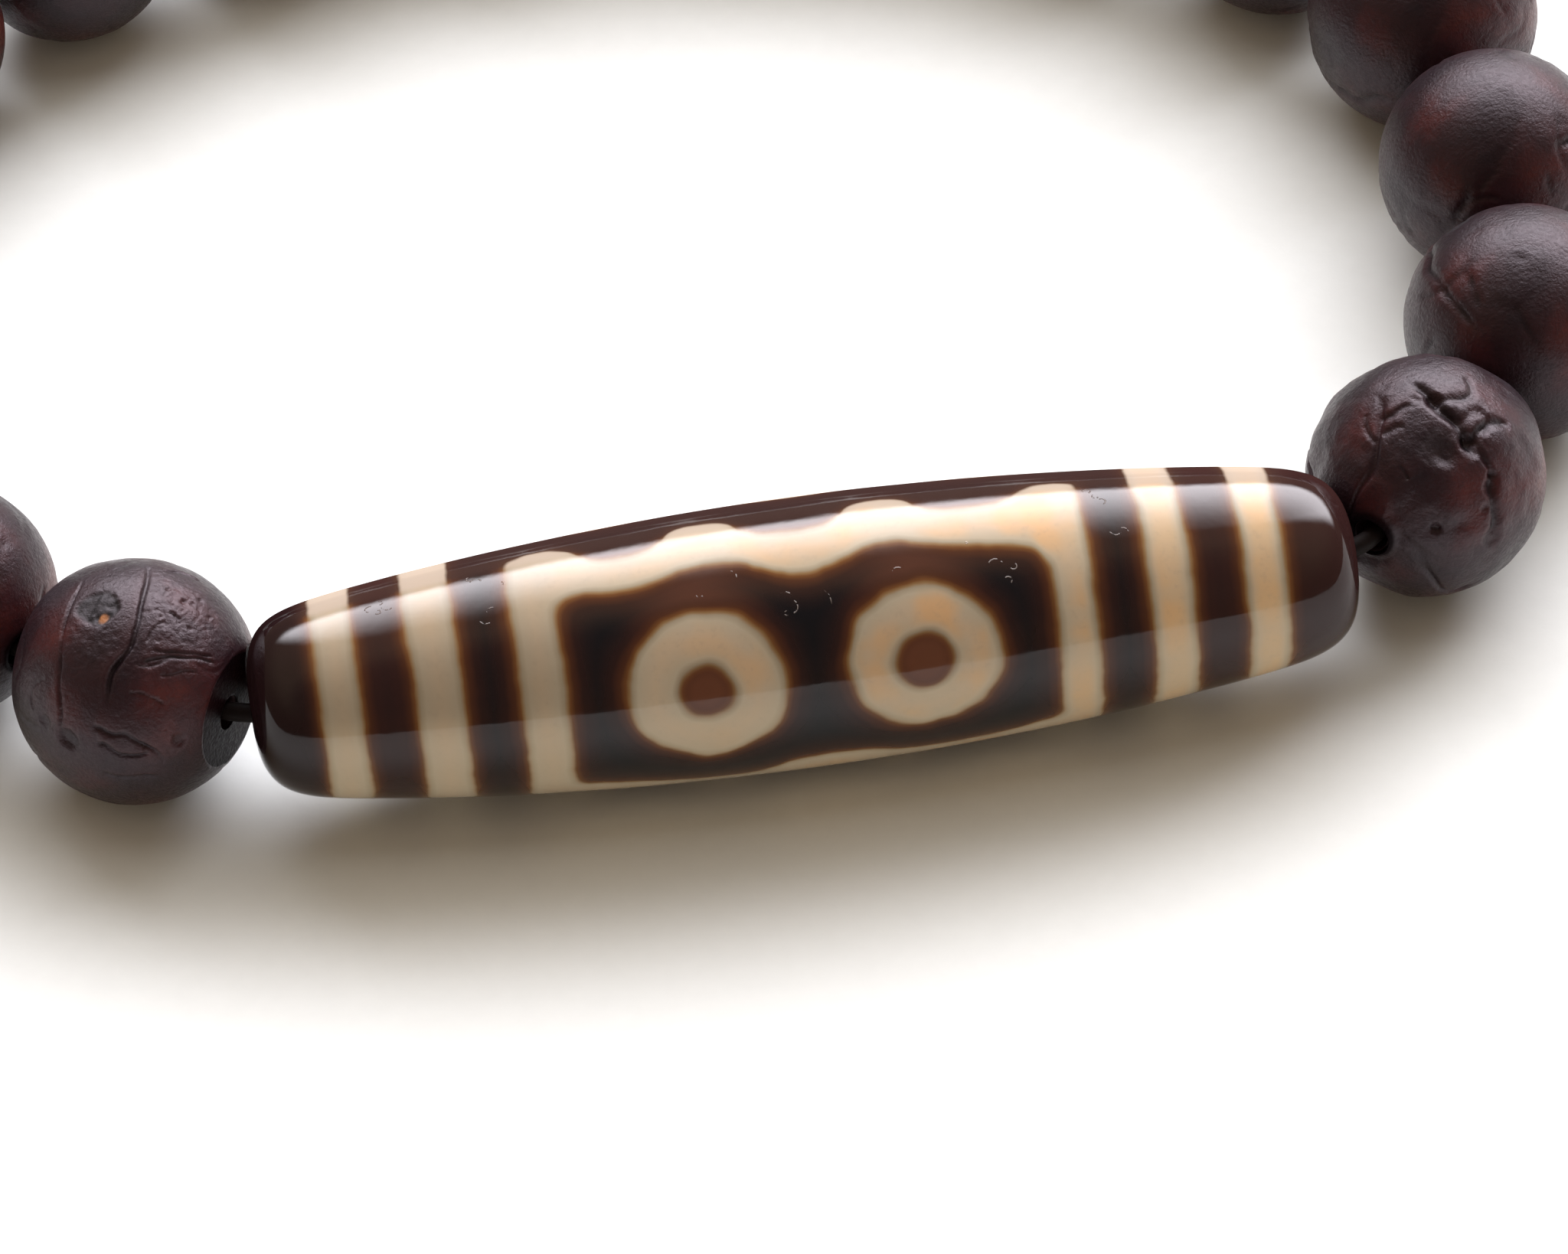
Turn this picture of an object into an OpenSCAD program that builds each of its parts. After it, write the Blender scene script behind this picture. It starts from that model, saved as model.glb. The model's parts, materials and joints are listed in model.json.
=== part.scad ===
/* [Long bead] */
// Length of the long agate bead
dzi_len = 45; // [40:0.5:50]
// Greatest diameter of the long bead, at its middle
dzi_dia = 11; // [10.5:0.1:11.5]
// Share of its radius that the barrel loses towards each end
barrel_taper = 0.34; // [0.25:0.005:0.4]
// Diameter of the thread hole through the long bead
dzi_bore = 2; // [1.8:0.1:2.4]

/* [Seeds] */
// Nominal diameter of the round seeds
seed_dia = 10; // [9.8:0.1:10.4]
// Length of a seed along its thread, as a share of its diameter
seed_squat = 0.97; // [0.95:0.01:0.99]
// Diameter of the thread hole through a seed
seed_bore = 1.4; // [1.3:0.1:1.8]
// Depth of the seam that runs over each seed
seam_depth = 0.18; // [0.1:0.02:0.3]
// Clearance between neighbouring beads
bead_gap = 0.08; // [0.06:0.01:0.2]
// Clearance between the long bead's ends and the seeds that they are bedded in
bed_gap = 0.1; // [0.08:0.01:0.2]

/* [Cord] */
// Diameter of the elastic cord
cord_dia = 0.8; // [0.6:0.1:0.8]

/* [Hidden] */
// Columns of the seed table: size over nominal, heading of the thread hole from +X, how far the
// seed sits outside its off-centre hole, the turn of its marks about the hole and their lean
// across it, and how far above the seed's middle the hole opens at its first end
OVER = 0;
HEADING = 1;
OFF = 2;
SPIN = 3;
LEAN = 4;
RISE = 5;
// Seeds in thread order, from the long bead's right end round to its left end
SEEDS = [
    [ 0.1,  48, -0.25, 184, -111, 0.9],
    [ 0.0,  70,  0.50, 130,   20, 0.0],
    [-0.1,  90, -0.40, 250,  -35, 0.0],
    [ 0.1, 109,  0.10,  70,   10, 0.0],
    [ 0.0, 127,  0.00, 310,   60, 0.0],
    [-0.1, 144,  0.10, 190,  -15, 0.0],
    [ 0.1, 159, -0.10, 100,   40, 0.0],
    [ 0.0, 173,  0.00, 350,  -70, 0.0],
    [ 0.1, 185,  0.10, 220,    5, 0.0],
    [-0.1, 196, -0.10,  40,  -25, 0.0],
    [ 0.0, 207,  0.00, 280,   80, 0.0],
    [ 0.1, 223,  0.10, 160,  -50, 0.0],
    [-0.1, 244,  0.00,  80,   15, 0.0],
    [ 0.0, 270, -0.10, 330,   -5, 0.0],
    [ 0.1, 296,  0.20, 210,   50, 0.0],
    [ 0.0, 315, -0.20,  60,  -30, 0.0],
    [ 0.1, 328, -0.20, 163,  -79, 0.0],
];
seed_count = len(SEEDS);

// How squarely the long bead's right and left ends are cut: a higher figure is blunter
RIGHT_END = 25;
LEFT_END = 27;
// Stations along half of the long bead's profile
half_stations = 24;

// Radius of a seed's flatter face round each hole, as a share of the seed's own radius
face_bulge = 1.15;
// Widening and depth of the worn mouth of a thread hole
mouth = 0.1;
// Width of the seam, and how far it runs to each side of the seed's waist, in degrees
seam_width = 0.7;
seam_reach = 58;
// Width and depth of the eye hollow, and its place beside the seam, in degrees
eye_width = 2.4;
eye_depth = 0.22;
eye_turn = 16;
eye_tilt = 24;

// Distance from each end of the long bead to the thread's bend beside it
end_bend = 0.3;
// Distance from that bend to the middle of the first and of the last seed, as shares of their radius
FIRST_BED = 1.12;
LAST_BED = 0.997;

// How far the cord's bend at each joint reaches into the beads, and its rings
bend_reach = 1.2;
bend_rings = 4;
// Share of the long bead in the thread's height where it meets a seed
long_bead_share = 0.2;
cord_sides = 8;
// Rounds of bending that close the string
close_rounds = 5;
// How far a cut runs past the face that it opens
cut_over = 1;
curve_fn = 64;

function seed_name(i) = str("bodhi_seed_", i < 9 ? "0" : "", i + 1);

function seed_r(i) = (seed_dia + SEEDS[i][OVER]) / 2;
function along(heading) = [cos(heading), sin(heading)];
function outward(heading) = [sin(heading), -cos(heading)];

// Profile of the long bead as [radius, distance along the axis], for one end, grown by a clearance
function dzi_end(bluntness, grown) = [for (i = [0 : half_stations])
    let (t = sin(90 * i / half_stations))
    [(dzi_dia / 2 + grown) * (1 - barrel_taper * t * t) * pow(1 - pow(t, bluntness), 1 / 3),
     (dzi_len / 2 + grown) * t]];

// Distance from a seed's middle to a plane that touches it, tilted from square across the thread
function seed_reach(i, tilt) = seed_r(i) * (face_bulge - (face_bulge - seed_squat) * cos(tilt));

// Distance along the thread from a bead's middle to the joint where the string turns
function seed_arm(i, turn) =
    (seed_reach(i, turn / 2) + bead_gap / 2 - SEEDS[i][OFF] * sin(turn / 2)) / cos(turn / 2);
function first_arm(i, turn) = i == 0 ? FIRST_BED * seed_r(i) : seed_arm(i, turn);
function last_arm(i, turn) = i == seed_count - 1 ? LAST_BED * seed_r(i) : seed_arm(i, turn);
dzi_arm = dzi_len / 2 + end_bend;

// Turns of the string at its joints, and the joints' places from the long bead's middle
function turns(headings) = [for (i = [0 : seed_count])
    (i == seed_count ? 360 : headings[i]) - (i == 0 ? 0 : headings[i - 1])];
function joints(headings, w) = [
    for (i = 0, p = [dzi_arm, 0]; i <= seed_count;
        p = i == seed_count ? p : p + (first_arm(i, w[i]) + last_arm(i, w[i + 1])) * along(headings[i]),
        i = i + 1)
    p];

// The headings are bent by two gentle waves until the string meets the long bead's left end
function bent(headings, a, b) = [for (i = [0 : seed_count - 1])
    let (s = 180 * (i + 1) / (seed_count + 1))
    headings[i] + a * sin(s) + b * sin(2 * s)];
function misclosure(headings) =
    let (w = turns(headings))
    joints(headings, w)[seed_count] + [dzi_arm, 0];
function closed(headings, rounds) = rounds == 0 ? headings :
    let (
        m = misclosure(headings),
        da = misclosure(bent(headings, 1, 0)) - m,
        db = misclosure(bent(headings, 0, 1)) - m,
        det = da[0] * db[1] - da[1] * db[0],
        a = (m[1] * db[0] - m[0] * db[1]) / det,
        b = (m[0] * da[1] - m[1] * da[0]) / det
    )
    closed(bent(headings, a, b), rounds - 1);

lay = closed([for (s = SEEDS) s[HEADING]], close_rounds);
lay_turns = turns(lay);
lay_joints = joints(lay, lay_turns);
seed_places = [for (i = [0 : seed_count - 1])
    lay_joints[i] + first_arm(i, lay_turns[i]) * along(lay[i]) + SEEDS[i][OFF] * outward(lay[i])];

// Half of a seed's width in a direction that lies at this angle to its thread hole
face_angle = acos((face_bulge * face_bulge - 1 + pow(face_bulge - seed_squat, 2))
    / (2 * face_bulge * (face_bulge - seed_squat)));
function folded(angle) = let (a = ((angle % 180) + 180) % 180) min(a, 180 - a);
function half_width(i, angle) = folded(angle) < face_angle ? seed_reach(i, folded(angle)) : seed_r(i);
xs = [for (i = [0 : seed_count - 1], side = [-1, 1]) seed_places[i][0] + side * half_width(i, lay[i])];
ys = [for (i = [0 : seed_count - 1]) seed_places[i][1] + half_width(i, lay[i] - 90)];
// Middle of the whole bracelet, which becomes the origin
middle = [(min(xs) + max(xs)) / 2, (max(ys) - dzi_dia / 2) / 2];

// Solid barrel, lying where the long bead lies
module barrel(grown) {
    left = dzi_end(LEFT_END, grown);
    profile = concat(
        dzi_end(RIGHT_END, grown),
        [for (i = [half_stations : -1 : 1]) [left[i][0], -left[i][1]]]
    );
    translate([-middle[0], -middle[1], dzi_dia / 2])
    rotate([0, 90, 0])
    rotate_extrude($fn = curve_fn) polygon(profile);
}

module dzi_bead() {
    color("#4a2c22")
    difference() {
        barrel(0);
        translate([-middle[0], -middle[1], dzi_dia / 2])
        rotate([0, 90, 0])
        cylinder(d = dzi_bore, h = dzi_len + 2 * cut_over, center = true, $fn = curve_fn);
    }
}

// Ball whose top or bottom makes a seed's flatter face round its hole, if it has one on that side
module face_ball(r, side, flatter) {
    translate([0, 0, flatter ? side * r * (seed_squat - face_bulge) : 0])
    sphere(r * face_bulge, $fn = curve_fn);
}

// Round seed with the hole along Z, flatter round its hole except beside the long bead
module seed_body(i) {
    intersection() {
        sphere(seed_r(i), $fn = curve_fn);
        face_ball(seed_r(i), -1, i > 0);
        face_ball(seed_r(i), 1, i < seed_count - 1);
    }
}

// Seam from one face to the other, with a round hollow beside it
module seed_marks(r) {
    rotate([90, 0, 0])
    rotate([0, 0, -seam_reach])
    rotate_extrude(angle = 2 * seam_reach, $fn = curve_fn)
    translate([r + seam_width / 2 - seam_depth, 0]) circle(d = seam_width, $fn = curve_fn);
    rotate([0, -eye_tilt, eye_turn])
    translate([r + eye_width / 2 - eye_depth, 0, 0]) sphere(d = eye_width, $fn = curve_fn);
}

// Thread hole with a worn mouth at each end; it may open higher at its first end than at its last
module seed_hole(i) {
    face = seed_r(i) * seed_squat;
    tip = atan(SEEDS[i][RISE] / (2 * face));
    translate([0, SEEDS[i][OFF], face])
    rotate([0, tip, 0])
    translate([0, 0, -face]) {
        cylinder(d = seed_bore, h = 2 * (face + cut_over), center = true, $fn = curve_fn);
        for (turned = [0, 180])
            rotate([0, turned, 0])
            translate([0, 0, face - mouth])
            cylinder(d1 = seed_bore, d2 = seed_bore + 8 * mouth, h = 4 * mouth, $fn = curve_fn);
    }
}

// The seeds beside the long bead have its ends bedded into them
module bodhi_seed(i) {
    r = seed_r(i);
    color("#3a2224")
    difference() {
        translate([seed_places[i][0] - middle[0], seed_places[i][1] - middle[1], r])
        rotate([0, 0, lay[i]])
        rotate([0, 90, 0])
        difference() {
            seed_body(i);
            rotate([SEEDS[i][LEAN], 0, SEEDS[i][SPIN]]) seed_marks(r);
            seed_hole(i);
        }
        if (i == 0 || i == seed_count - 1) barrel(bed_gap);
    }
}

// Height of the thread at each joint: midway between two seeds' holes, and near the seed's hole
// where it enters the long bead
function long_bead_z(seed_z) = dzi_dia / 2 * long_bead_share + seed_z * (1 - long_bead_share);
function joint_z(i) =
    i == 0 ? long_bead_z(seed_r(0) + SEEDS[0][RISE]) :
    i == seed_count ? long_bead_z(seed_r(i - 1)) :
    (seed_r(i - 1) + seed_r(i)) / 2;
cord_corners = [for (i = [0 : seed_count])
    [lay_joints[i][0] - middle[0], lay_joints[i][1] - middle[1], joint_z(i)]];
function unit(v) = v / norm(v);
function corner(i) = cord_corners[(i + seed_count + 1) % (seed_count + 1)];

// Each corner is rounded by a short curve between two points on the straight stretches
cord_rings = [for (i = [0 : seed_count], k = [0 : bend_rings - 1])
    let (
        c = corner(i),
        before = c - bend_reach * unit(c - corner(i - 1)),
        after = c + bend_reach * unit(corner(i + 1) - c),
        t = k / (bend_rings - 1)
    )
    [before * pow(1 - t, 2) + c * 2 * t * (1 - t) + after * t * t,
     unit((c - before) * (1 - t) + (after - c) * t)]];

module elastic_cord() {
    n = len(cord_rings);
    points = [for (ring = cord_rings, s = [0 : cord_sides - 1])
        let (
            side = unit(cross(ring[1], [0, 0, 1])),
            up = cross(side, ring[1]),
            a = 360 * (s + 0.5) / cord_sides
        )
        ring[0] + cord_dia / 2 * (cos(a) * side + sin(a) * up)];
    faces = [for (k = [0 : n - 1], s = [0 : cord_sides - 1])
        let (
            k2 = (k + 1) % n,
            s2 = (s + 1) % cord_sides
        )
        [k * cord_sides + s, k * cord_sides + s2, k2 * cord_sides + s2, k2 * cord_sides + s]];
    color("#2e1d18") polyhedron(points, faces);
}

dzi_bead();
for (i = [0 : seed_count - 1])
    bodhi_seed(i);
elastic_cord();
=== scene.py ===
import json
import math

import bpy
import numpy as np
from mathutils import Matrix, Vector

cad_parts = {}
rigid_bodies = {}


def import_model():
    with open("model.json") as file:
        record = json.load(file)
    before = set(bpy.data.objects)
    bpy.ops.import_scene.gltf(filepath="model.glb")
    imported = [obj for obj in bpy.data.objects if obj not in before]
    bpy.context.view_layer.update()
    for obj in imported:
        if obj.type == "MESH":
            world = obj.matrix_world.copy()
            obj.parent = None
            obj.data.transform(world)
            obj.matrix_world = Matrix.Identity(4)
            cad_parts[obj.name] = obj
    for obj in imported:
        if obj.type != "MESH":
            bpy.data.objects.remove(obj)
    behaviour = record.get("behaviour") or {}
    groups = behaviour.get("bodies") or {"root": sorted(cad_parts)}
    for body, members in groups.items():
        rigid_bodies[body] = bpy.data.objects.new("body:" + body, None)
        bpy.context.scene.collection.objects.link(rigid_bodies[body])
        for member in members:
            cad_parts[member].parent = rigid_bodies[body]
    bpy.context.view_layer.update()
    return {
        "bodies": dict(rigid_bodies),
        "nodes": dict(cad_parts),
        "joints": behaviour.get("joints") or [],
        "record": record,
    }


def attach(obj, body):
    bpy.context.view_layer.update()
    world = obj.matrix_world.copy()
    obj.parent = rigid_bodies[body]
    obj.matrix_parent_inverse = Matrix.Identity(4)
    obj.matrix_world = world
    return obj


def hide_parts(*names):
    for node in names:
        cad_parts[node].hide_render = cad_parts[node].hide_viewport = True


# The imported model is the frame: everything below is placed by it

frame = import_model()

MM = 0.001

# Long bead, in mm

DZI_LENGTH = 45.0
DZI_RADIUS = 5.5
# Share of its radius that the barrel loses towards its ends
DZI_TAPER = 0.34
# A higher power makes a flatter end with a tighter corner
DZI_RIGHT_END = 25
DZI_LEFT_END = 27
DZI_BORE = 1.0
DZI_MOUTH = 1.15
DZI_MIDDLE = (4.838, -27.196, 5.5)
# Rings in each mouth of the bore: depth below the end, and radius
DZI_MOUTH_RINGS = [(0.03, 1.07), (0.12, 1.02), (0.5, DZI_BORE)]
# Rings along the outline, and points round each ring
DZI_STATIONS = 320
DZI_AROUND = 280
# Depth and size of the uneven barrel's broad swells and of its dents
DZI_SWELL = (0.035, 6.0)
DZI_DENT = (0.02, 2.5)

# Seeds, in mm and degrees, from the long bead's right end round to its left end: x, y, radius,
# heading of the hole, how far the seed sits to the right of its hole seen along the heading, the turn
# of its seam about the hole, and the seam's lean

SEEDS = [
    (31.238, -22.826, 5.05, 47.992, -0.25, 184, -111),
    (36.982, -14.773, 5.00, 69.982, 0.50, 130, 20),
    (37.789, -5.006, 4.95, 89.968, -0.40, 250, -35),
    (36.662, 4.746, 5.05, 108.947, 0.10, 70, 10),
    (31.965, 13.406, 5.00, 126.921, 0.00, 310, 60),
    (25.097, 20.329, 4.95, 143.889, 0.10, 190, -15),
    (16.396, 24.834, 5.05, 158.855, -0.10, 100, 40),
    (6.880, 27.345, 5.00, 172.819, 0.00, 350, -70),
    (-2.954, 27.646, 5.05, 184.786, 0.10, 220, 5),
    (-12.552, 25.712, 4.95, 195.760, -0.10, 40, -25),
    (-21.664, 22.271, 5.00, 206.744, 0.00, 280, 80),
    (-29.808, 16.737, 5.05, 222.741, 0.10, 160, -50),
    (-35.611, 8.827, 4.95, 243.752, 0.00, 80, 15),
    (-37.739, -0.717, 5.00, 269.778, -0.10, 330, -5),
    (-35.841, -10.412, 5.05, 295.819, 0.20, 210, 50),
    (-29.816, -18.219, 5.00, 314.872, -0.20, 60, -30),
    (-22.122, -24.354, 5.05, 327.933, -0.20, 163, -79),
]
# How far above the seed's middle the first seed's hole opens beside the long bead
FIRST_RISE = 0.9
# Clearance between the long bead's ends and the seeds that they are bedded in
BED_GAP = 0.1
# Along its hole a seed is squat, with a flatter face at each end: shares of its radius
SEED_SQUAT = 0.97
SEED_FACE_BULGE = 1.15
SEED_BORE = 0.7
SEED_MOUTH = 0.84
# Rings in each mouth of a seed's hole: depth and radius
SEED_MOUTH_RINGS = [(0.06, 0.75), (0.16, 0.71)]
# Rows and points round each row, of the two seeds seen closely and of the others
FINE_GRID = (262, 348)
PLAIN_GRID = (84, 128)
# Half of a seam's length, and where the sprouting spot lies beside it, in degrees
SEAM_REACH = 58
EYE_BESIDE_SEAM = (16, 24)

CORD_RADIUS = 0.4
# The mesh is a trace thinner, and so stays inside the CAD model's cord
CORD_MESH_SHARE = 0.99
CORD_SIDES = 20
# How far from a corner the cord starts to bend, and how far past the long bead its corners lie
CORD_BEND_REACH = 1.2
END_BEND = 0.3
# Share of the step in height to the long bead's middle that its two corners take
LONG_BEAD_SHARE = 0.2

# Camera, in mm and degrees

CAMERA_LOOK = (4.117, -26.289, 5.0)
CAMERA_DISTANCE = 291.2
CAMERA_AZIMUTH = -4.87
CAMERA_ELEVATION = 46.62
CAMERA_ROLL = -4.33
CAMERA_LENS = 165.23
CAMERA_SENSOR = 36.0


def srgb(red, green, blue):
    """Colour given as 0 to 255 values, as the linear colour that a shader takes."""
    linear = []
    for value in (red, green, blue):
        v = value / 255
        linear.append(v / 12.92 if v <= 0.04045 else ((v + 0.055) / 1.055) ** 2.4)
    return (*linear, 1.0)


# Noise and lines over a surface

def lattice(ix, iy, iz, seed):
    """A fixed value from -1 to 1 for each cell corner."""
    h = (ix * 374761393 + iy * 668265263 + iz * 2147483647 + seed * 1274126177) & 0xFFFFFFFF
    h = ((h ^ (h >> 13)) * 1274126177) & 0xFFFFFFFF
    return ((h ^ (h >> 16)) & 0xFFFF) / 32767.5 - 1


def noise(points, size, seed):
    """Smooth noise from -1 to 1 whose features are about `size` wide."""
    p = points / size
    cell = np.floor(p).astype(np.int64)
    f = p - cell
    f = f * f * (3 - 2 * f)
    total = np.zeros(len(points))
    for corner in np.ndindex(2, 2, 2):
        weight = np.where(corner, f, 1 - f).prod(axis=1)
        total += weight * lattice(*(cell + corner).T, seed)
    return total


def fractal(points, size, seed, octaves=3):
    """Noise with finer and weaker noise added to it, scaled so that three octaves reach 1."""
    total = np.zeros(len(points))
    weight = 1.0
    for k in range(octaves):
        total += weight * noise(points, size / 2 ** k, seed + 17 * k)
        weight *= 0.5
    return total / 1.75


def beside_line(points, line):
    """Distance from each point to a polyline on a ball, the side that it is on, and the share of
    the line's length at which it is nearest. The side is 1 to the left and -1 to the right."""
    gap = np.full(len(points), 1e9)
    side = np.ones(len(points))
    share = np.zeros(len(points))
    for k, (a, b) in enumerate(zip(line[:-1], line[1:])):
        ab = b - a
        t = np.clip((points - a) @ ab / max(ab @ ab, 1e-12), 0, 1)
        off = points - a - t[:, None] * ab
        away = np.sqrt((off * off).sum(axis=1))
        nearer = away < gap
        left = np.cross(a + b, ab)
        gap = np.where(nearer, away, gap)
        side = np.where(nearer, np.sign(off @ left), side)
        share = np.where(nearer, (k + t) / (len(line) - 1), share)
    return gap, side, share


def rounded(line, times=2):
    """The line with its corners cut, which makes a smooth curve of it."""
    for _ in range(times):
        cut = [line[0]]
        for a, b in zip(line[:-1], line[1:]):
            cut += [0.75 * a + 0.25 * b, 0.25 * a + 0.75 * b]
        line = cut + [line[-1]]
    return line


def unit_of(vectors):
    """The vectors, each with a length of 1."""
    return vectors / np.linalg.norm(vectors, axis=-1, keepdims=True)


def smooth_step(low, high, value):
    """Rises smoothly from 0 at low to 1 at high, or falls where low is the greater."""
    t = np.clip((value - low) / (high - low), 0, 1)
    return t * t * (3 - 2 * t)


# Objects

def add_object(name, data):
    obj = bpy.data.objects.new(name, data)
    bpy.context.scene.collection.objects.link(obj)
    return obj


def grid_object(name, rings, origin, material):
    """Closed surface through rings of points, as (ring, point, xyz) in mm, from each ring to the
    next one and from the last to the first."""
    count, around = rings.shape[:2]
    verts = rings.reshape(-1, 3) * MM
    lower = np.arange(count * around).reshape(count, around)
    upper = np.roll(lower, -1, axis=0)
    quads = np.stack([lower, np.roll(lower, -1, 1), np.roll(upper, -1, 1), upper], -1).reshape(-1, 4)
    mesh = bpy.data.meshes.new(name)
    mesh.vertices.add(len(verts))
    mesh.vertices.foreach_set("co", verts.ravel())
    mesh.loops.add(quads.size)
    mesh.loops.foreach_set("vertex_index", quads.ravel().astype(np.int32))
    mesh.polygons.add(len(quads))
    mesh.polygons.foreach_set("loop_start", np.arange(0, quads.size, 4, dtype=np.int32))
    mesh.polygons.foreach_set("use_smooth", np.ones(len(quads), dtype=bool))
    mesh.update(calc_edges=True)
    mesh.validate()
    mesh.materials.append(material)
    obj = add_object(name, mesh)
    obj.location = Vector(origin) * MM
    return obj


def add_values(obj, name, values):
    """Keeps one number a vertex on the mesh, for its material to read."""
    layer = obj.data.attributes.new(name, "FLOAT", "POINT")
    layer.data.foreach_set("value", values.astype(np.float32))


# Shader nodes

class Nodes:
    """Short calls for the nodes of a material or of the world."""

    def __init__(self, name=None, tree=None):
        self.tree = tree
        if tree is None:
            self.material = bpy.data.materials.new(name)
            self.material.use_nodes = True
            self.tree = self.material.node_tree
            self.shader = self.tree.nodes["Principled BSDF"]

    def add(self, kind, inputs=None, **settings):
        """A new node, with its inputs by name or number."""
        node = self.tree.nodes.new(kind)
        for key, value in settings.items():
            setattr(node, key, value)
        for key, value in (inputs or {}).items():
            self.put(node.inputs[key], value)
        return node

    def put(self, socket, value):
        if isinstance(value, bpy.types.NodeSocket):
            self.tree.links.new(value, socket)
        else:
            socket.default_value = value

    def math(self, operation, *values):
        inputs = dict(enumerate(values))
        return self.add("ShaderNodeMath", inputs, operation=operation).outputs[0]

    def noise(self, where, scale, detail, roughness=0.5):
        inputs = {"Vector": where, "Scale": scale, "Detail": detail, "Roughness": roughness}
        return self.add("ShaderNodeTexNoise", inputs).outputs["Fac"]

    def spread(self, value, low, high, to_low=0.0, to_high=1.0, smooth=True):
        """The value taken from one range to another, and held at its ends."""
        inputs = dict(enumerate((value, low, high, to_low, to_high)))
        kind = "SMOOTHSTEP" if smooth else "LINEAR"
        return self.add("ShaderNodeMapRange", inputs, interpolation_type=kind).outputs[0]

    def ramp(self, value, stops):
        """Colours along a value, given as (value, red, green, blue) with colours from 0 to 255."""
        node = self.add("ShaderNodeValToRGB", {0: value})
        elements = node.color_ramp.elements
        elements.remove(elements[1])
        for k, (place, *colour) in enumerate(stops):
            element = elements.new(place) if k else elements[0]
            element.position = place
            element.color = srgb(*colour)
        return node.outputs[0]

    def curve(self, value, points, low, high, to_low, to_high, handle="AUTO"):
        """Curve through (value, result) points, with both scaled to the node's 0 to 1."""
        node = self.add("ShaderNodeFloatCurve")
        curve = node.mapping.curves[0]
        places = [((x - low) / (high - low), (y - to_low) / (to_high - to_low)) for x, y in points]
        while len(curve.points) < len(places):
            curve.points.new(0.5, 0.5)
        for point, place in zip(curve.points, places):
            point.location = place
            point.handle_type = handle
        node.mapping.update()
        self.put(node.inputs["Value"], self.spread(value, low, high, smooth=False))
        return self.spread(node.outputs[0], 0, 1, to_low, to_high, smooth=False)

    def mix(self, amount, first, second):
        inputs = {"Factor": amount, 6: first, 7: second}
        return self.add("ShaderNodeMix", inputs, data_type="RGBA").outputs[2]

    def tint(self, colour, mask, share, towards):
        """The colour, taken by a share towards another one where the mask is 1."""
        return self.mix(self.times(mask, share), colour, towards)

    def combine(self, operation, values):
        """One value out of several, such as the lowest of them."""
        total = values[0]
        for value in values[1:]:
            total = self.math(operation, total, value)
        return total

    def times(self, *values):
        return self.combine("MULTIPLY", values)

    def minus(self, value, less):
        return self.math("SUBTRACT", value, less)

    def object_place(self):
        """The place on the object in mm."""
        inputs = {0: self.add("ShaderNodeTexCoord").outputs["Object"], 1: (1 / MM,) * 3}
        return self.add("ShaderNodeVectorMath", inputs, operation="MULTIPLY").outputs["Vector"]

    def axes_of(self, where):
        return self.add("ShaderNodeSeparateXYZ", {0: where}).outputs[:]

    def bump(self, height, distance, strength, under=None):
        inputs = {"Strength": strength, "Distance": distance, "Height": height}
        if under is not None:
            inputs["Normal"] = under
        return self.add("ShaderNodeBump", inputs).outputs[0]

    def value_of(self, name):
        return self.add("ShaderNodeAttribute", attribute_name=name).outputs["Fac"]

    def set(self, name, value):
        self.put(self.shader.inputs[name], value)


# Camera

def make_camera():
    azimuth = math.radians(CAMERA_AZIMUTH)
    roll = math.radians(CAMERA_ROLL)
    back = view_direction()
    level = Vector((math.cos(azimuth), math.sin(azimuth), 0))
    upright = back.cross(level)
    right = level * math.cos(roll) + upright * math.sin(roll)
    up = upright * math.cos(roll) - level * math.sin(roll)
    place = (Vector(CAMERA_LOOK) + back * CAMERA_DISTANCE) * MM
    data = bpy.data.cameras.new("camera")
    data.sensor_fit = "HORIZONTAL"
    data.sensor_width = CAMERA_SENSOR
    data.lens = CAMERA_LENS
    data.clip_start = 0.01
    data.clip_end = 10.0
    camera = add_object("camera", data)
    turn = Matrix((right, up, back)).transposed().to_4x4()
    camera.matrix_world = Matrix.Translation(place) @ turn
    bpy.context.scene.camera = camera


# Light, as radiance and as degrees above the floor and to each side of the view's far direction

WINDOW_COLOUR = (9.7, 9.4, 9.9, 1)
ROOM_COLOUR = (0.42, 0.315, 0.215, 1)
LOW_ROOM_COLOUR = (0.17, 0.12, 0.085, 1)
ROOM_REACH = (12, 50)
FRONT_COLOUR = (0.10, 0.085, 0.075, 1)
WINDOW_SILL = (19, 28)
WINDOW_TOP = (30, 76)
WINDOW_LEFT = (-42, -24)
WINDOW_RIGHT = (58, 76)
# The sill stands higher at the left: sides in degrees, and how far it is above its mean height
SILL_SLOPE = (-15, 20, 5, -5)
# The room is darker in the direction of the camera: cosines of the angle from it
FRONT_REACH = (0.72, 0.95)
# Wide soft lamps: name, power in W, colour, size in m, and place in m from the bracelet
LAMPS = [
    ("overhead", 1.6, (1.0, 1.0, 1.0), 0.8, (0, 0.22, 0.75)),
    ("front", 1.5, (1.0, 0.76, 0.53), 1.2, (0, -0.80, 0.70)),
]
# Half the floor's width in m, and the two tones of its fine grain
FLOOR_REACH = 3.0
FLOOR_TONES = [(0.765, 0.805, 0.795, 1), (0.805, 0.845, 0.835, 1)]


def view_direction():
    """Unit vector from the bracelet to the camera."""
    azimuth = math.radians(CAMERA_AZIMUTH)
    elevation = math.radians(CAMERA_ELEVATION)
    return Vector((
        math.sin(azimuth) * math.cos(elevation),
        -math.cos(azimuth) * math.cos(elevation),
        math.sin(elevation),
    ))


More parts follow.
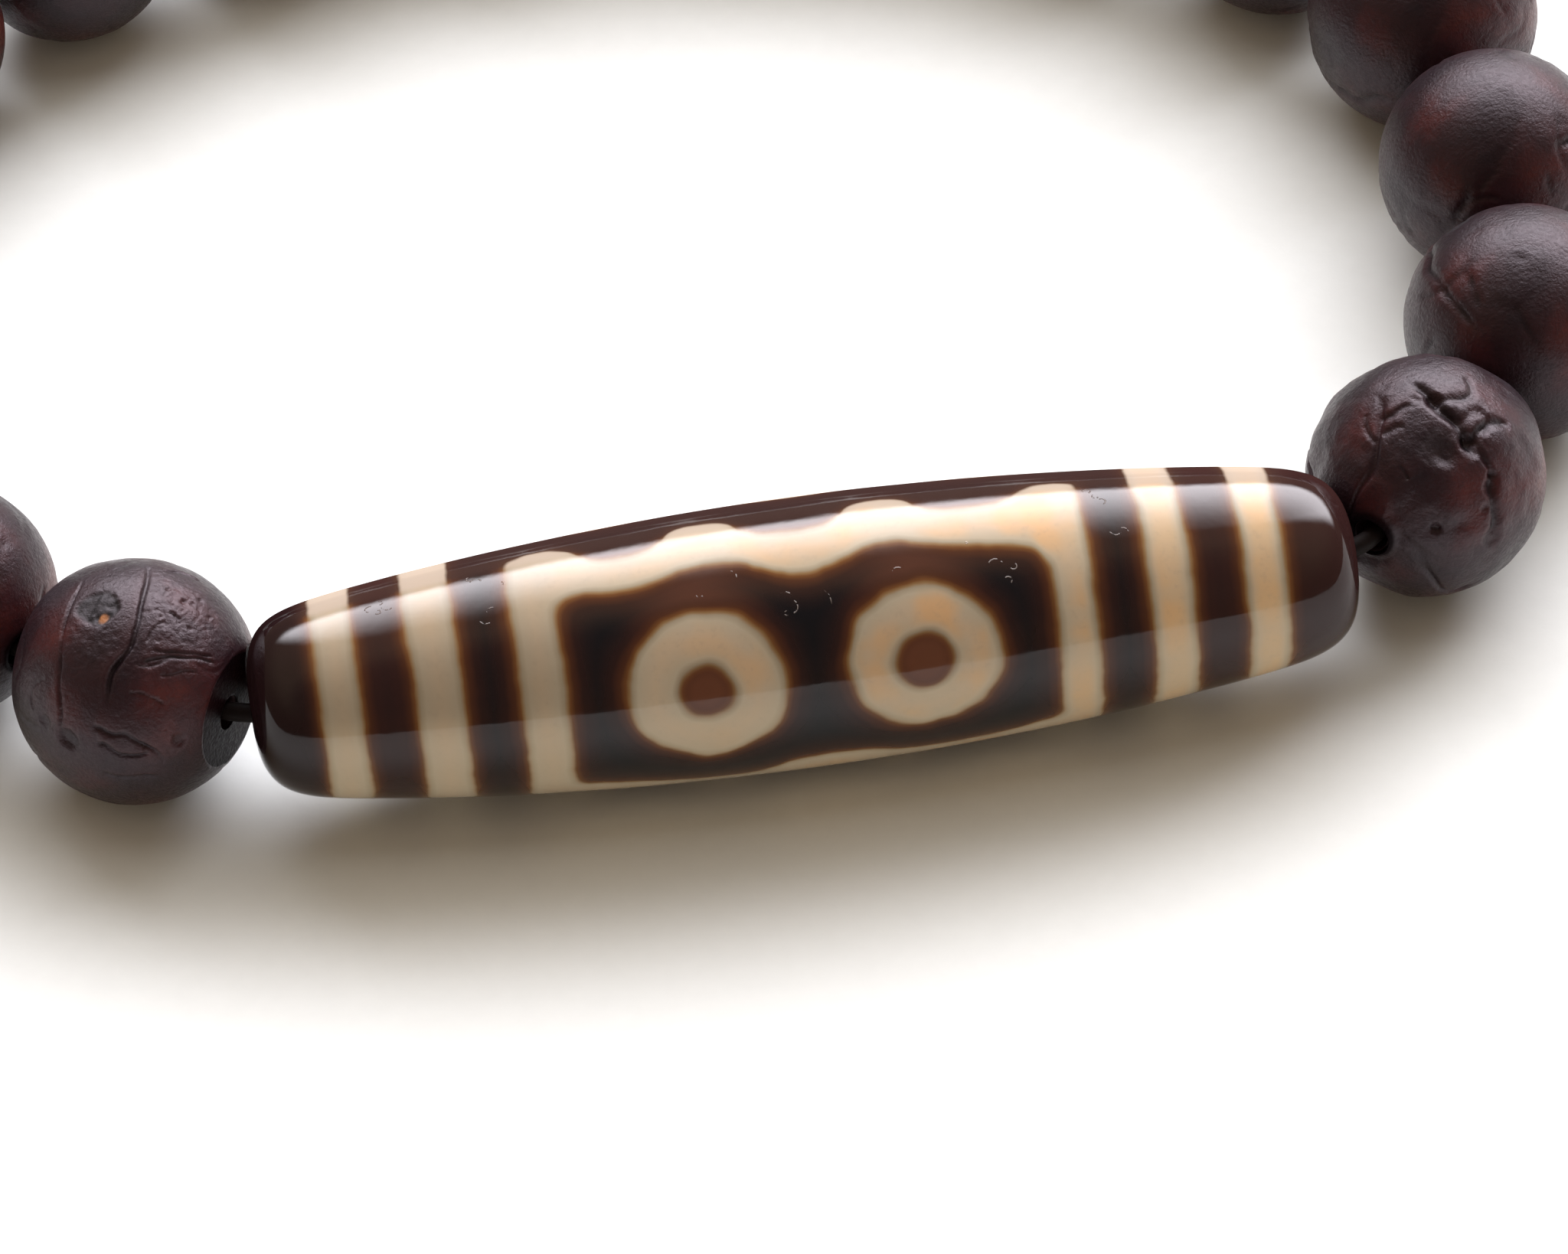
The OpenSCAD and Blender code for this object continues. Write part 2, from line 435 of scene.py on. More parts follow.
def make_room():
    """A broad window behind the bracelet, with a crisp sill and a soft top, in a dim warm room."""
    world = bpy.data.worlds.new("room")
    world.use_nodes = True
    n = Nodes(tree=world.node_tree)
    where = n.add("ShaderNodeTexCoord").outputs["Generated"]
    east, north, up = n.axes_of(where)
    height = n.times(n.math("ARCSINE", up), math.degrees(1))
    side = n.times(n.math("ARCTAN2", east, north), math.degrees(1))
    above_sill = n.minus(height, n.spread(side, *SILL_SLOPE, smooth=False))
    sill = n.spread(above_sill, *WINDOW_SILL)
    top = n.spread(height, *WINDOW_TOP, 1.0, 0.0)
    left = n.spread(side, *WINDOW_LEFT)
    right = n.spread(side, *WINDOW_RIGHT, 1.0, 0.0)
    pane = n.times(sill, top, left, right)
    inputs = {0: where, 1: view_direction()}
    toward = n.add("ShaderNodeVectorMath", inputs, operation="DOT_PRODUCT").outputs["Value"]
    room = n.mix(n.spread(height, *ROOM_REACH), LOW_ROOM_COLOUR, ROOM_COLOUR)
    room = n.mix(n.spread(toward, *FRONT_REACH), room, FRONT_COLOUR)
    background = world.node_tree.nodes["Background"]
    n.put(background.inputs["Color"], n.mix(pane, room, WINDOW_COLOUR))
    bpy.context.scene.world = world


def make_lamp(name, power, colour, size, place):
    """A wide soft lamp, which lights the floor and leaves no reflection of its own."""
    data = bpy.data.lights.new(name, "AREA")
    data.size = size
    data.energy = power
    data.color = colour
    lamp = add_object(name, data)
    away = Vector(place)
    facing = away.to_track_quat("Z", "Y").to_matrix().to_4x4()
    lamp.matrix_world = Matrix.Translation(away) @ facing
    lamp.visible_glossy = False


def make_floor():
    mesh = bpy.data.meshes.new("floor")
    signs = [(-1, -1), (1, -1), (1, 1), (-1, 1)]
    mesh.from_pydata([(a * FLOOR_REACH, b * FLOOR_REACH, 0) for a, b in signs], [], [(0, 1, 2, 3)])
    floor = add_object("floor", mesh)
    n = Nodes("white_surface")
    where = n.add("ShaderNodeTexCoord").outputs["Object"]
    grain = n.noise(where, 900.0, 3.0)
    n.set("Base Color", n.mix(grain, *FLOOR_TONES))
    n.set("Roughness", 0.75)
    n.set("Normal", n.bump(grain, 0.00004, 0.5))
    mesh.materials.append(n.material)


# Long bead

def barrel_form(t, bluntness):
    """Share of the barrel's greatest radius, where t runs from 0 at its middle to 1 at its end."""
    return (1 - DZI_TAPER * t * t) * np.cbrt(1 - t ** bluntness)


def barrel_radius(x, grown):
    """Radius of the barrel at x mm from its middle, grown by a clearance, and 0 past its ends."""
    t = np.minimum(np.abs(x) / (DZI_LENGTH / 2 + grown), 1)
    bluntness = np.where(x > 0, DZI_RIGHT_END, DZI_LEFT_END)
    return (DZI_RADIUS + grown) * barrel_form(t, bluntness)


def dzi_profile():
    """Outline from the left mouth to the right one, as (x, radius), evenly spaced."""
    halves = []
    for bluntness in (DZI_LEFT_END, DZI_RIGHT_END):
        t = np.sin(np.linspace(0, math.pi / 2, 4000))
        radius = DZI_RADIUS * barrel_form(t, bluntness)
        keep = radius > DZI_MOUTH
        halves.append(np.stack([DZI_LENGTH / 2 * t[keep], radius[keep]], axis=1))
    left = halves[0][::-1] * (-1, 1)
    line = np.vstack([left[:-1], halves[1]])
    step = np.hypot(*np.diff(line, axis=0).T)
    length = np.concatenate([[0], np.cumsum(step)])
    even = np.linspace(0, length[-1], DZI_STATIONS)
    return np.stack([np.interp(even, length, line[:, k]) for k in (0, 1)], axis=1)


def dzi_rings():
    """Rings of the whole bead as (x, radius): its outline, then back through its bore."""
    outline = dzi_profile()
    left_x, right_x = outline[0, 0], outline[-1, 0]
    right_mouth = [(right_x - depth, radius) for depth, radius in DZI_MOUTH_RINGS]
    left_mouth = [(left_x + depth, radius) for depth, radius in DZI_MOUTH_RINGS]
    bore = [(x, DZI_BORE) for x in np.linspace(right_x - 2, left_x + 2, 9)]
    return np.vstack([outline, right_mouth, bore, left_mouth[::-1]])


def make_dzi():
    rings = dzi_rings()
    angle = np.linspace(0, 2 * math.pi, DZI_AROUND, endpoint=False)
    x = np.repeat(rings[:, :1], DZI_AROUND, axis=1)
    y = -rings[:, 1:] * np.cos(angle)
    z = rings[:, 1:] * np.sin(angle)
    points = np.stack([x, y, z], axis=-1)

    flat = points.reshape(-1, 3)
    outside = np.arange(len(flat)) < DZI_STATIONS * DZI_AROUND
    swell = DZI_SWELL[0] * (1 + noise(flat * (0.5, 1, 1), DZI_SWELL[1], 3)) / 2
    dent = DZI_DENT[0] * (1 + noise(flat, DZI_DENT[1], 11)) / 2
    fade = smooth_step(DZI_LENGTH / 2, DZI_LENGTH / 2 - 2, np.abs(flat[:, 0]))
    inward = outside * fade * (swell + dent)
    radius = np.hypot(flat[:, 1], flat[:, 2])
    flat[:, 1:] *= ((radius - inward) / radius)[:, None]
    bead = grid_object("dzi_agate", flat.reshape(points.shape), DZI_MIDDLE, dzi_material())
    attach(bead, "root")
    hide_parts("dzi_bead")


# Pattern of the long bead: two cream bands round each end, and on the front and on the back a cream
# frame of two wavy lines along the bead and two bands across it, with two eyes in the frame

OUTER_BANDS = [(-19.71, -18.00), (-15.93, -13.95), (13.59, 15.39), (17.46, 19.26)]
FRAME_BANDS = [(-11.79, -9.95), (9.72, 11.43)]
# How far from a band its distance is told apart, in mm
BAND_DEPTH = 2.5
# Middle and half-width of a frame in degrees about the bead, and where its lines end in mm
FRAME_MIDDLE = 29.5
FRAME_HALF = 79.5
LINE_REACH = 10.8
# The front's frame is turned by 0 degrees about the bead, and the back's by 188
FRAME_TURNS = (0, 188)

# Edges of a frame's lines, as (x in mm, angle in degrees about the bead: 0 to the front, 90 up)

EDGE_REACH = 14
UPPER_LINE_LOW = [
    (-14, 72), (-10.0, 75.5), (-9.0, 77.5), (-7.2, 76), (-5.4, 79), (-4.5, 81.5), (-3.6, 82), (-2.7, 81),
    (-1.8, 77), (-0.9, 73), (0, 71), (0.9, 73), (1.8, 76), (2.7, 80), (3.4, 81), (4.5, 79), (5.4, 77),
    (7.2, 74), (9.0, 71), (9.9, 64), (14, 55),
]
UPPER_LINE_HIGH = [
    (-14, 102), (-11.7, 102), (-10.6, 110), (-8.6, 101), (-7.2, 96), (-5.4, 102), (-3.9, 110),
    (-2.2, 101), (0, 95.5), (1.8, 102), (3.3, 110), (4.9, 102), (6.6, 97.5), (8.6, 101), (10.2, 107),
    (11.5, 102), (14, 101),
]
LOWER_LINE_HIGH = [
    (-14, -20), (-8.1, -24), (-5.5, -29), (-3.9, -30), (-2, -25), (0, -18), (1.5, -19), (3.9, -26),
    (6, -27), (9, -22), (14, -16),
]
LOWER_LINE_LOW = [
    (-14, -50), (-10, -50), (-8, -56), (-4.2, -50), (0, -58), (4.2, -50), (8, -56), (10, -50), (14, -50),
]
# Eyes: x in mm, degrees above the face's middle, and outer and inner radius of the ring in mm
FACE_ANGLE = 26
EYES = [(-4.42, 1.7, 3.18, 1.04), (4.30, 1.5, 3.12, 1.10)]
# How far above the middle of an eye a brown bloom lies, and how far it reaches, in mm
BLOOM_RISE = 3.3
BLOOM_REACH = 3.4
SURFACE_RADIUS = 5.35
# Millimetres along the skin for one degree about the bead
ARC_SCALE = math.radians(SURFACE_RADIUS)


def band_distance(n, x, edges):
    """Signed distance to the nearest band's edge, below 0 inside the cream."""
    end = DZI_LENGTH / 2
    points = []
    last = -end - BAND_DEPTH
    for low, high in edges:
        half_gap = (low - last) / 2
        if half_gap < BAND_DEPTH:
            points.append((last + half_gap, half_gap))
        else:
            points.append((last + BAND_DEPTH, BAND_DEPTH))
            points.append((low - BAND_DEPTH, BAND_DEPTH))
        points.append(((low + high) / 2, (low - high) / 2))
        last = high
    points += [(last + BAND_DEPTH, BAND_DEPTH), (end, BAND_DEPTH)]
    return n.curve(x, points, -end, end, -3.0, 3.0, "VECTOR")


def edge_angle(n, x, edge):
    """Angle about the bead of a line's edge, in degrees."""
    angles = [angle for _, angle in edge]
    return n.curve(x, edge, -EDGE_REACH, EDGE_REACH, min(angles) - 2, max(angles) + 2)


def line_signed(n, x, angle, low, high):
    """Signed distance to a wavy line that runs along the bead between two edges."""
    below = n.minus(edge_angle(n, x, low), angle)
    above = n.minus(angle, edge_angle(n, x, high))
    return n.times(n.math("MAXIMUM", below, above), ARC_SCALE)


def lines_along(n, x, angle):
    """Signed distance to the two wavy lines of a frame, which end in its bands."""
    upper = line_signed(n, x, angle, UPPER_LINE_LOW, UPPER_LINE_HIGH)
    lower = line_signed(n, x, angle, LOWER_LINE_LOW, LOWER_LINE_HIGH)
    beyond = n.minus(n.math("ABSOLUTE", x), LINE_REACH)
    return n.math("MAXIMUM", n.math("MINIMUM", upper, lower), beyond)


def length_of(n, dx, dy):
    return n.math("SQRT", n.math("ADD", n.times(dx, dx), n.times(dy, dy)))


# Small crescent flaws: place along the bead in mm, angle about it in degrees, radius in mm, and
# the direction and half-width of the arc in degrees

FLAWS = [
    (-17.2, 95, 0.20, 150, 100), (-16.8, 98, 0.13, 20, 110), (-16.5, 94, 0.22, 250, 80),
    (-16.9, 91.5, 0.12, 330, 120), (-12.9, 97.5, 0.22, 80, 80), (-13.1, 101, 0.16, 200, 90),
    (-12.4, 77.5, 0.22, 120, 60), (-12.7, 74.5, 0.26, 250, 50), (-11.9, 93, 0.10, 60, 120),
    (-4.2, 69.5, 0.16, 220, 90), (-2.9, 75, 0.24, 30, 50), (-0.9, 61, 0.34, 75, 45),
    (-0.7, 58, 0.26, 350, 70), (-0.9, 55.6, 0.10, 180, 110), (0.3, 58, 0.60, 20, 32),
    (7.6, 64, 0.30, 95, 75), (8.3, 63, 0.13, 300, 110), (8, 57, 0.15, 40, 90),
    (11.8, 101, 0.15, 60, 120), (12.1, 97, 0.13, 240, 120), (12.3, 93, 0.16, 20, 110),
    (12.6, 75, 0.22, 260, 70), (12.9, 74, 0.20, 60, 60), (16.6, 84, 0.08, 0, 170),
    (3.7, 66.5, 0.22, 90, 70), (6.6, 76.5, 0.04, 0, 179),
]


def flaws(n, x, arc, where):
    """The small flaws as a value from 0 to 1, a little broken along their length."""
    arcs = []
    for flaw_x, angle, radius, direction, half in FLAWS:
        dx = n.minus(x, flaw_x)
        dy = n.minus(arc, angle * ARC_SCALE)
        off = n.math("ABSOLUTE", n.minus(length_of(n, dx, dy), radius))
        line = n.spread(off, 0.008, 0.034, 1.0, 0.0)
        turn = math.radians(direction)
        along = n.math("MULTIPLY_ADD", dx, math.cos(turn), n.times(dy, math.sin(turn)))
        limit = radius * math.cos(math.radians(half))
        arcs.append(n.times(line, n.spread(along, limit, limit + 0.15 * radius)))
    broken = n.spread(n.noise(where, 6.0, 1.0), 0.42, 0.58)
    return n.times(n.combine("MAXIMUM", arcs), broken)


def creep(n, where, scale, detail, reach):
    """Noise round 0 that lets an edge waver, as dye that has crept in the stone."""
    return n.times(n.minus(n.noise(where, scale, detail), 0.5), reach)


def dzi_pattern(n, where, along, about):
    """Signed distances to cream and pupils in mm, below 0 inside, and to the nearest bloom's middle."""
    x = n.math("ADD", along, creep(n, where, 0.35, 1.0, 0.3))
    wobble = creep(n, where, 0.45, 1.0, 0.55)
    parts = [band_distance(n, x, OUTER_BANDS)]
    frame_bands = band_distance(n, x, FRAME_BANDS)
    pupils = []
    blooms = []
    for turned in FRAME_TURNS:
        off = n.math("WRAP", n.minus(about, turned + FRAME_MIDDLE), 180, -180)
        angle = n.math("ADD", off, FRAME_MIDDLE)
        beyond = n.minus(n.math("ABSOLUTE", off), FRAME_HALF)
        sides = n.math("SMOOTH_MAX", frame_bands, n.times(beyond, ARC_SCALE), 0.9)
        parts.append(n.math("SMOOTH_MIN", sides, lines_along(n, along, angle), 1.3))
        arc = n.times(n.minus(angle, FACE_ANGLE), ARC_SCALE)
        for eye_x, eye_up, outer, inner in EYES:
            dx = n.minus(along, eye_x)
            dy = n.minus(arc, eye_up * ARC_SCALE)
            away = n.math("ADD", length_of(n, dx, dy), wobble)
            parts.append(n.math("MAXIMUM", n.minus(away, outer), n.minus(inner, away)))
            pupils.append(n.minus(away, inner))
            blooms.append(length_of(n, dx, n.minus(dy, BLOOM_RISE)))
    cream = n.math("ADD", n.combine("MINIMUM", parts), creep(n, where, 1.1, 1.5, 0.16))
    return cream, n.combine("MINIMUM", pupils), n.combine("MINIMUM", blooms)


def agate_colour(n, cream, pupil, bloom):
    """Cream, brown edges and dark stone, by the distance to the cream's edge."""
    colour = n.ramp(n.spread(cream, -1.6, 1.6, smooth=False), [
        (0.00, 185, 165, 135),
        (0.20, 183, 166, 142),
        (0.38, 174, 163, 142),
        (0.44, 152, 142, 121),
        (0.48, 132, 104, 70),
        (0.515, 104, 67, 37),
        (0.57, 72, 41, 26),
        (0.68, 44, 26, 23),
        (0.84, 30, 22, 23),
        (0.98, 20, 19, 22),
    ])
    # Brown, softer pupils and a brown bloom above each eye
    colour = n.mix(n.spread(pupil, -0.55, 0.42, 0.94, 0.0), colour, srgb(98, 60, 42))
    bloomed = n.times(n.spread(bloom, 0.0, BLOOM_REACH, 0.80, 0.0), n.spread(cream, 0.10, 0.7))
    return n.mix(bloomed, colour, srgb(82, 48, 36))


def cream_tints(n, colour, where, along, up, about, cream):
    """Tints of the cream: peach and grey that it has taken, a painted shade deeper to the left, and a
    painted lighter tone low down.
    """
    core = n.spread(cream, -0.15, -0.7)
    whole = n.spread(cream, 0.05, -0.15)
    patch = n.spread(n.noise(where, 0.35, 2.0), 0.42, 0.66)
    peach = n.times(patch, n.spread(along, -12, 8, 0.10, 0.90), core)
    colour = n.tint(colour, peach, 0.7, srgb(212, 163, 107))
    warm_end = n.times(n.spread(along, 7, 17), core)
    colour = n.tint(colour, warm_end, 0.5, srgb(208, 174, 130))
    grey = n.times(n.spread(n.noise(where, 3.2, 4.0), 0.5, 0.75), core)
    colour = n.tint(colour, grey, 0.16, srgb(140, 136, 122))
    # Painted shade: the cream is deeper on the left end, above its lower front
    left_top_shade = n.times(n.spread(along, -7, -12, 0.0, 1.0), n.spread(about, 12, 34), whole)
    colour = n.tint(colour, left_top_shade, 0.40, srgb(128, 114, 93))
    # Painted light: the cream is paler low down, where the floor's light falls
    low = n.times(n.spread(up, 1.0, 2.6, 1.0, 0.0), whole)
    return n.tint(colour, low, 0.35, srgb(208, 190, 158))


def end_tints(n, colour, along, about, cream):
    """A paler colour along the upper rim, a painted sheen of the window's light, and redder stripes and
    caps towards both ends.
    """
    # Painted sheen: paler along the upper rim
    rim_sheen = n.times(n.spread(about, 98, 107), n.spread(about, 125, 150, 1.0, 0.0))
    rim_sheen_colour = n.mix(n.spread(cream, 0.05, -0.15), srgb(54, 38, 35), srgb(171, 157, 142))
    colour = n.tint(colour, rim_sheen, 0.85, rim_sheen_colour)
    from_middle = n.math("ABSOLUTE", along)
    outer = n.times(n.spread(from_middle, 14.0, 16.5), n.spread(cream, 0.10, 0.7))
    colour = n.tint(colour, outer, 0.45, srgb(56, 32, 29))
    cap_colour = n.mix(n.spread(along, -10, 10), srgb(27, 15, 17), srgb(46, 27, 26))
    return n.tint(colour, n.spread(from_middle, 19.6, 20.6), 0.85, cap_colour)


def agate_gloss(n, up):
    """Specular level: the polish is worn on the upper edge, and duller low down, where it rubs."""
    facing = n.add("ShaderNodeLayerWeight").outputs["Facing"]
    worn = n.times(n.spread(facing, 0.50, 0.72), n.spread(up, -1, 1))
    level = n.spread(worn, 0, 1, 0.5, 0.0, smooth=False)
    return n.times(level, n.spread(up, 1.6, 3.2, 0.64, 1.0))


def dzi_material():
    n = Nodes("dzi_agate")
    where = n.object_place()
    along, far, up = n.axes_of(where)
    about = n.times(n.math("ARCTAN2", up, n.times(far, -1)), math.degrees(1))
    cream, pupil, bloom = dzi_pattern(n, where, along, about)
    colour = agate_colour(n, cream, pupil, bloom)
    colour = cream_tints(n, colour, where, along, up, about, cream)
    colour = end_tints(n, colour, along, about, cream)
    marks = flaws(n, along, n.times(about, ARC_SCALE), where)
    # The flaws are paler, partly the cracks' own pale colour and partly a painted glint
    n.set("Base Color", n.tint(colour, marks, 0.40, srgb(176, 164, 158)))
    polish = n.spread(n.noise(where, 1.3, 3.0), 0.3, 0.7, 0.05, 0.10)
    n.set("Roughness", n.math("MULTIPLY_ADD", marks, 0.45, polish))
    n.set("IOR", 1.47)
    n.set("Specular IOR Level", agate_gloss(n, up))
    waves = n.bump(n.noise(where, 1.1, 2.0), 0.00002, 0.35)
    n.set("Normal", n.bump(marks, 0.00003, 0.6, waves))
    return n.material


# Seeds

# Creases of the two seeds beside the long bead: width and depth in mm, height of the fold beside the
# crease, to its left or, below 0, to its right, and points as longitude and latitude in degrees

SEED_17_CREASES = [
    (0.11, 0.19, -0.075, [
        (58, 63), (35, 75), (-10, 80), (-58, 76), (-75, 70), (-84, 64), (-92, 59), (-100, 55),
        (-105, 49), (-106, 42), (-105, 35),
    ]),
    (0.07, 0.07, -0.045, [
        (128, 63), (150, 67), (172, 66), (191, 62), (203, 56), (212, 50), (220, 43), (225, 35),
        (228, 28), (229, 18), (232, 8),
    ]),
    (0.06, 0.09, 0.035, [(-69, 58), (-62, 54), (-52, 51), (-45, 47), (-39, 42), (-33, 38)]),
    (0.07, 0.10, 0.040, [(-80, 54), (-71, 53), (-59, 51), (-50, 47), (-42, 42), (-35, 35)]),
    (0.06, 0.06, -0.025, [(-86, 54), (-79, 51), (-69, 50), (-61, 50)]),
    (0.06, 0.08, 0.040, [(-94, 41), (-88, 41), (-83, 39), (-78, 36), (-74, 32)]),
    (0.10, 0.12, 0.070, [
        (-113, 26), (-109, 25), (-103, 22), (-97, 23), (-93, 20), (-88, 16), (-83, 10), (-80, 3),
    ]),
    (0.09, 0.11, 0.060, [(-111, 17), (-106, 17), (-102, 12), (-97, 10), (-91, 10), (-87, 11)]),
    (0.07, 0.07, 0.035, [(-110, 0), (-106, -2), (-101, -3), (-96, -3), (-90, -3), (-84, -5)]),
    (0.05, 0.08, 0.030, [(41, 61), (39, 54), (33, 50), (26, 46)]),
    (0.06, 0.09, 0.030, [(-25, 66), (-25, 63), (-27, 60)]),
    (0.06, 0.06, -0.020, [(-148, 20), (-153, 23), (-155, 29), (-149, 37)]),
    (0.05, 0.05, 0.020, [(-72, 46), (-64, 43), (-55, 42), (-49, 38)]),
    (0.05, 0.05, 0.020, [(-70, 62), (-62, 66), (-48, 67), (-36, 65)]),
    (0.05, 0.04, 0.020, [(-60, 22), (-52, 24), (-45, 22)]),
]
SEED_01_CREASES = [
    (0.24, 0.22, -0.09, [
        (140, 81), (225, 88), (-86, 82), (-76, 77), (-65, 70), (-65, 61), (-67, 54), (-65, 47),
    ]),
    (0.20, 0.13, 0.06, [(-86, 82), (-42, 80), (-26, 74), (-7, 69), (12, 68), (18, 71)]),
    (0.20, 0.11, 0.04, [(-63, 55), (-56, 59), (-41, 59), (-28, 54), (-21, 47)]),
    (0.17, 0.10, 0.05, [(-161, 63), (-153, 68), (-152, 74), (-139, 79)]),
    (0.15, 0.08, 0.03, [(-147, 58), (-139, 64), (-129, 67)]),
    (0.20, 0.13, -0.04, [(-56, 39), (-64, 33), (-65, 24), (-65, 16), (-69, 8)]),
    (0.08, 0.07, 0.03, [(-120, 49), (-113, 43)]),
    (0.10, 0.08, 0.03, [(-99, 20), (-95, 19)]),
    (0.15, 0.08, 0.03, [(-175, 59), (-164, 55), (-146, 53)]),
]

# Pits of the same seeds: radius and depth in mm, longitude and latitude

SEED_17_PITS = [
    (0.11, 0.06, 11, 67), (0.09, 0.05, 1, 66), (0.13, 0.07, -5, 61), (0.10, 0.06, -5, 57),
    (0.09, 0.05, -30, 60), (0.08, 0.05, -38, 68), (0.10, 0.06, -29, 55), (0.08, 0.04, -31, 71),
    (0.12, 0.06, 2, 53), (0.08, 0.04, -41, 64), (0.09, 0.05, -18, 61), (0.08, 0.05, -15, 66),
    (0.10, 0.05, -10, 47), (0.09, 0.05, -59, 60), (0.42, 0.18, -126, 15), (0.30, 0.10, -141, 18),
    (0.32, 0.10, -72, 13),
]
SEED_01_PITS = [
    (0.34, 0.22, -83, 83), (0.34, 0.22, -64, 57), (0.40, 0.14, -69, 7), (0.34, 0.12, -64, 32),
    (0.24, 0.12, -97, 20), (0.20, 0.10, -70, 24), (0.18, 0.10, -60, 38),
]
CHARTED = {1: (SEED_01_CREASES, SEED_01_PITS), 17: (SEED_17_CREASES, SEED_17_PITS)}

# Patches of finely wrinkled skin: radius and depth in mm, longitude and latitude
WRINKLED = {
    1: [(1.6, 0.03, -40, 62)],
    17: [(2.4, 0.036, -12, 60), (1.6, 0.026, -122, 64), (1.6, 0.024, -75, 55)],
}

# Lumps of a seed's skin: their size and height in mm, the mean depth below the round, and the
# depth of the folds between them

SEED_LUMPS = (4.2, 0.050, 0.035, 0.05)
LUMPY_SEED_LUMPS = (2.2, 0.190, 0.085, 0.16)
LUMPY_SEEDS = (1,)

# Sprouting spots that are charted, as longitude and latitude, with how plain they are to see, and
# the ochre speck in one of them
EYE_PLACES = {17: (-155, 79)}
EYE_STRENGTH = {1: 0.25, 17: 1.0}
SPECK_PLACES = {17: (-127, 76)}
# The last seed has a flat worn face round its hole, at this share of its radius
FACE_SHARE = {17: 0.86}
# A seam's width, depth and fold in mm, and how many marks are scattered on the other seeds
SEAM = (0.16, 0.17, 0.06)
GROWN_CREASES = 26
PIT_CLUSTERS = 3
PITS_IN_CLUSTER = 12
# How far a fold's lip and the hollow across its crease reach, in mm
LIP_REACH = 0.42
HOLLOW_REACH = 0.30
# How deep the long bead's bed is looked for, in mm, and how often that step is halved
BED_DEPTH = 2.0
BED_HALVINGS = 14
# How far from a hole's mouth the relief fades out and the painted shade reaches, in mm
MOUTH_FADE_REACH = 0.5


def seed_envelope(number, cosine, radius):
    """Distance from a seed's middle to its skin, by the cosine of the angle from its hole."""
    reach = SEED_FACE_BULGE * radius
    back = (SEED_FACE_BULGE - SEED_SQUAT) * radius
    c = np.abs(cosine)
    face = -back * c + np.sqrt(back * back * (c * c - 1) + reach * reach)
    # Beside the long bead a seed has no flatter face
    if number == 1:
        face = np.where(cosine < 0, radius, face)
    if number == len(SEEDS):
        face = np.where(cosine > 0, radius, face)
    return np.minimum(radius, face)


def in_long_bead(points):
    """Whether points, given from the long bead's middle, lie in it or in its clearance."""
    return np.hypot(points[:, 1], points[:, 2]) < barrel_radius(points[:, 0], BED_GAP)


def bedded(unit, reach, place):
    """Shortens the reach from a seed's middle where the long bead's end is bedded into the seed."""
    start = np.array(place) - np.array(DZI_MIDDLE)
    low = reach - BED_DEPTH
    high = reach.copy()
    for _ in range(BED_HALVINGS):
        middle = (low + high) / 2
        inside = in_long_bead(start + middle[:, None] * unit)
        high = np.where(inside, middle, high)
        low = np.where(inside, low, middle)
    return np.where(in_long_bead(start + reach[:, None] * unit), low, reach)


def seed_grid(radius, off, first_rise, rows, around):
    """Directions of a seed's skin with its hole along X, in rows from the last end to the first."""
    start = math.asin(SEED_MOUTH / radius)
    polar = np.linspace(start, math.pi - start, rows)
    turn = np.linspace(0, 2 * math.pi, around, endpoint=False)
    p, t = np.meshgrid(polar, turn, indexing="ij")
    unit = np.stack([np.cos(p), np.sin(p) * np.cos(t), np.sin(p) * np.sin(t)], axis=-1)
    pull = np.abs(np.cos(p)) ** 6 / (radius * SEED_SQUAT)
    unit[..., 1] += pull * off
    unit[..., 2] += pull * np.where(p > math.pi / 2, first_rise, 0)
    return unit_of(unit)


def bore_rings(skin, off, first_rise):
    """Rings of the thread hole between the skin's first and last row."""
    around = skin.shape[1]
    turn = np.linspace(0, 2 * math.pi, around, endpoint=False)
    near, far = skin[0][:, 0], skin[-1][:, 0]
    high, low = near.mean(), far.mean()
    rings = [(near - depth, r, 0.0) for depth, r in SEED_MOUTH_RINGS]
    for x in np.linspace(high - 0.8, low + 0.8, 7):
        rings.append((np.full(around, x), SEED_BORE, (high - x) / (high - low)))
    rings += [(far + depth, r, 1.0) for depth, r in reversed(SEED_MOUTH_RINGS)]
    return np.array([
        np.stack([x, off + r * np.cos(turn), first_rise * share + r * np.sin(turn)], axis=-1)
        for x, r, share in rings
    ])


def ball_point(lon, lat):
    """Unit vector at a longitude and latitude in degrees."""
    a, b = math.radians(lon), math.radians(lat)
    return np.array([math.cos(b) * math.cos(a), math.cos(b) * math.sin(a), math.sin(b)])


def chart_point(lon, lat, radius, heading):
    """A charted point on a seed's round, in the seed's own directions."""
    return radius * ball_point(lon - heading, lat)


def rotated(first, second, degrees):
    """Two coordinates after a turn in their plane."""
    sine, cosine = math.sin(math.radians(degrees)), math.cos(math.radians(degrees))
    return first * cosine - second * sine, first * sine + second * cosine


def from_mark_frame(v, spin, lean):
    """A direction given beside the seam, turned to where the seam lies, with the hole along X."""
    a, b, c = v
    b, c = rotated(b, c, lean)
    a, b = rotated(a, b, spin)
    return np.array([c, b, -a])


def seam_line(number, radius, spin, lean):
    """Points of the seam, which wanders a little from its meridian."""
    rng = np.random.default_rng(500 + number)
    line = []
    for lat in np.linspace(-SEAM_REACH, SEAM_REACH, 12):
        lon = rng.normal(0, 2.5)
        line.append(radius * from_mark_frame(ball_point(lon, lat), spin, lean))
    return line


